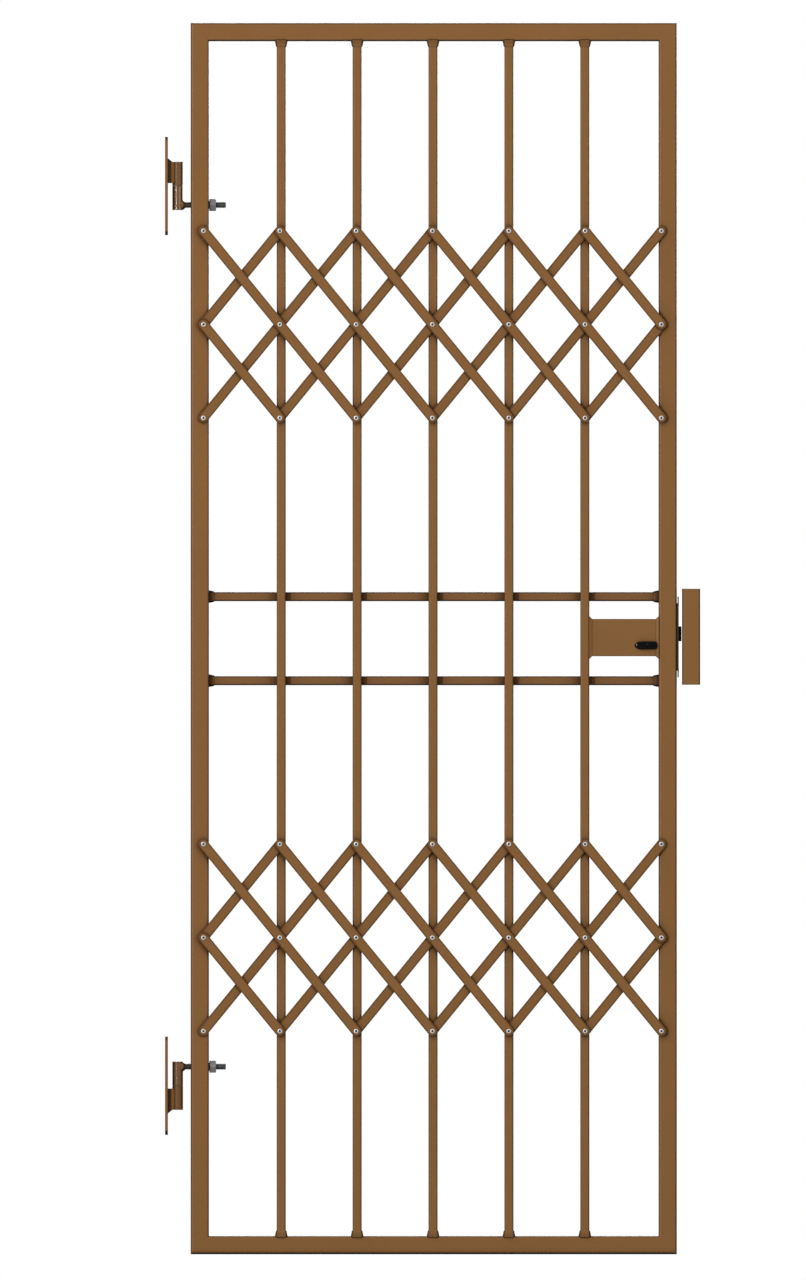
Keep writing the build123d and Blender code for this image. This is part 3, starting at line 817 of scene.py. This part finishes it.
def forend_screws(low, high):
    """Two countersunk heads, nearly flush with the forend's face, each with a cross recess."""
    bm = bmesh.new()
    for z in (low.z + SCREW_FROM_END, high.z - SCREW_FROM_END):
        place = Vector((high.x, (low.y + high.y) / 2, z))
        loops = turned_loops(bm, SCREW_RINGS, place, X_AXIS, Y_AXIS, SCREW_SEGMENTS, screw_radius)
        join_loops(bm, loops)
        cap_ends(bm, loops)
    return bm


screws = forend_screws(*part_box("forend_faceplate"))
finish_piece("forend_screws", screws, [zinc], "gate_leaf")


# Key cover
def key_cover_edge(x, z, half_width, half_height):
    """How far a point lies inside the cover's outline: an elliptical left end and a squarer right end."""
    left = KEY_ROUND_END - half_width
    if x < left:
        reach = math.hypot((x - left) / KEY_ROUND_END, z / half_height)
        return half_height * max(0.0, 1 - reach)
    over_x = x - (half_width - KEY_CORNER)
    over_z = abs(z) - (half_height - KEY_CORNER)
    if over_x > 0 and over_z > 0:
        return max(0.0, KEY_CORNER - math.hypot(over_x, over_z))
    return max(0.0, min(half_width - x, half_height - abs(z)))


def arc_points(x, z, radius_x, radius_z, start, sweep, steps):
    """Points along an elliptical arc round x, z, without the last one."""
    points = []
    for step in range(steps):
        angle = start + sweep * step / steps
        points.append((x + radius_x * math.cos(angle), z + radius_z * math.sin(angle)))
    return points


def line_points(start, end, steps):
    """Points along a straight line, without the last one."""
    points = []
    for step in range(steps):
        share = step / steps
        points.append((start[0] + (end[0] - start[0]) * share, start[1] + (end[1] - start[1]) * share))
    return points


def key_cover_outline(half_width, half_height):
    """Points round the cover, sampled closely along its straight sides."""
    left, right = KEY_ROUND_END - half_width, half_width - KEY_CORNER
    corner_z = half_height - KEY_CORNER
    quarter = math.pi / 2
    return (
        arc_points(left, 0, KEY_ROUND_END, half_height, quarter, math.pi, KEY_ROUND_STEPS)
        + line_points((left, -half_height), (right, -half_height), KEY_STRAIGHT_STEPS)
        + arc_points(right, -corner_z, KEY_CORNER, KEY_CORNER, -quarter, quarter, KEY_CORNER_STEPS)
        + line_points((half_width, -corner_z), (half_width, corner_z), KEY_END_STEPS)
        + arc_points(right, corner_z, KEY_CORNER, KEY_CORNER, 0, quarter, KEY_CORNER_STEPS)
        + line_points((right, half_height), (left, half_height), KEY_STRAIGHT_STEPS)
    )


def key_cover_depth(x, z, inside, proud):
    """How far the cover stands out at a point, from how far the point lies inside the outline."""
    across = z * z / (2 * DOME_RADIUS)
    if x < KEY_SEAM:
        top = proud - (x - KEY_SEAM) ** 2 / (2 * KNOB_LENGTHWISE) - across
        shoulder = KNOB_SHOULDER
    else:
        top = proud * TONGUE_SHARE - across
        shoulder = TONGUE_SHOULDER
    ease = min(1.0, inside / shoulder)
    rise = top * math.sqrt(1 - (1 - ease) ** 2)
    seam = KEY_SEAM_DEPTH * math.exp(-((x - KEY_SEAM) / KEY_SEAM_WIDTH) ** 2)
    return max(KEY_RIM, rise - seam)


def key_cover(low, high):
    """A glossy cap: a shallow domed knob on the left, a seam, and a lower tongue on the right."""
    centre = (low + high) / 2
    half_width, half_height = (high.x - low.x) / 2, (high.z - low.z) / 2
    spine = half_width - half_height
    bm = bmesh.new()
    loops = []
    for ring, share in enumerate(KEY_RINGS):
        loop = []
        for outline_x, outline_z in key_cover_outline(half_width, half_height):
            target = max(-spine, min(spine, outline_x))
            x = outline_x + (target - outline_x) * share
            z = outline_z * (1 - share)
            inside = key_cover_edge(x, z, half_width, half_height)
            depth = 0.0 if ring == 0 else key_cover_depth(x, z, inside, high.y - low.y)
            loop.append(bm.verts.new((centre.x + x, high.y - depth, centre.z + z)))
        loops.append(loop)
    join_loops(bm, loops)
    bm.faces.new(list(reversed(loops[0])))
    bmesh.ops.remove_doubles(bm, verts=bm.verts, dist=0.001 * MM)
    return bm


cover = finish_piece("key_cover", key_cover(*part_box("key_escutcheon")), [gloss], "gate_leaf")
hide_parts("key_escutcheon")


# Stage: floor, light and camera
def seen_directly(tree):
    """1 for what the camera, a reflection or glass sees, and 0 for the light that falls on the object."""
    path = tree.nodes.new("ShaderNodeLightPath")
    total = path.outputs["Is Camera Ray"]
    for name in ("Is Glossy Ray", "Is Transmission Ray"):
        larger = tree.nodes.new("ShaderNodeMath")
        larger.operation = "MAXIMUM"
        tree.links.new(total, larger.inputs[0])
        tree.links.new(path.outputs[name], larger.inputs[1])
        total = larger.outputs[0]
    return total


def pale_floor():
    """A floor that looks nearly white, takes shadows and throws little light back on the object."""
    shader = Shader("pale_floor")
    tone = shader.ramp(shader.noise(FLOOR_RIPPLES, detail=3.0, roughness=0.5), low=0.3, high=0.7)
    seen = seen_directly(shader.tree)
    darker, lighter = FLOOR_TONES
    pale = shader.mix(tone, grey(darker), grey(lighter))
    shader.surface(Base_Color=shader.mix(seen, grey(FLOOR_THROWN_BACK), pale),
                   Roughness=FLOOR_ROUGHNESS,
                   Specular_IOR_Level=0.0,
                   Emission_Color=grey(1.0),
                   Emission_Strength=shader.times(seen, FLOOR_GLOW))
    return shader.material


def stage_floor():
    """A wide floor, a little under the leaf."""
    bm = bmesh.new()
    corners = []
    for x, y in ((-1, -1), (1, -1), (1, 1), (-1, 1)):
        corners.append(bm.verts.new((MIDDLE_X + x * FLOOR_REACH, y * FLOOR_REACH, LEAF_BOTTOM - FLOOR_GAP)))
    bm.faces.new(corners)
    mesh = mesh_from(bm, "floor")
    mesh.materials.append(pale_floor())
    floor = bpy.data.objects.new("floor", mesh)
    bpy.context.scene.collection.objects.link(floor)


def area_light(name, place, size, power):
    """A white oblong lamp that is aimed at the leaf's middle."""
    data = bpy.data.lights.new(name, "AREA")
    data.shape = "RECTANGLE"
    data.size, data.size_y = size
    data.energy = power
    light = bpy.data.objects.new(name, data)
    light.location = place
    light.rotation_euler = (AIM - Vector(place)).to_track_quat("-Z", "Y").to_euler()
    bpy.context.scene.collection.objects.link(light)


def world_light():
    """Even pale surroundings: white behind the object, and a level glow on it."""
    world = bpy.data.worlds.new("studio")
    bpy.context.scene.world = world
    world.use_nodes = True
    tree = world.node_tree
    tree.nodes.clear()
    output = tree.nodes.new("ShaderNodeOutputWorld")
    mix = tree.nodes.new("ShaderNodeMixShader")
    tree.links.new(seen_directly(tree), mix.inputs[0])
    for strength, socket in ((WORLD_GLOW, mix.inputs[1]), (WORLD_SEEN, mix.inputs[2])):
        background = tree.nodes.new("ShaderNodeBackground")
        background.inputs["Color"].default_value = (1, 1, 1, 1)
        background.inputs["Strength"].default_value = strength
        tree.links.new(background.outputs[0], socket)
    tree.links.new(mix.outputs[0], output.inputs["Surface"])


def photo_camera():
    """Level and square to the leaf, with the photograph's framing."""
    data = bpy.data.cameras.new("camera")
    data.type = "ORTHO"
    data.ortho_scale = PHOTO_HEIGHT * METRES_PER_PIXEL
    camera = bpy.data.objects.new("camera", data)
    x = (PHOTO_WIDTH / 2 - WALL_PIXEL) * METRES_PER_PIXEL
    z = LEAF_BOTTOM + (LEAF_BOTTOM_PIXEL - PHOTO_HEIGHT / 2) * METRES_PER_PIXEL
    camera.location = (x, -CAMERA_DISTANCE, z)
    camera.rotation_euler = (math.pi / 2, 0, 0)
    bpy.context.scene.collection.objects.link(camera)
    bpy.context.scene.camera = camera


stage_floor()
world_light()
area_light("key", place=(-5.3, -8.2, 1.5), size=(0.4, 2.6), power=580)
area_light("left_edge", place=(-9.0, -0.8, 6.5), size=(1.5, 1.5), power=760)
area_light("soft_right", place=(5.2, -4.7, 1.9), size=(3.0, 2.2), power=152)
area_light("front_fill", place=(-1.6, -4.6, 5.2), size=(2.4, 2.4), power=100)
area_light("right_fill", place=(5.2, 3.2, 1.4), size=(1.6, 1.6), power=70)
area_light("back_fill", place=(1.2, 4.4, 2.4), size=(2.5, 2.5), power=170)
photo_camera()
bpy.context.scene.view_settings.view_transform = "Standard"
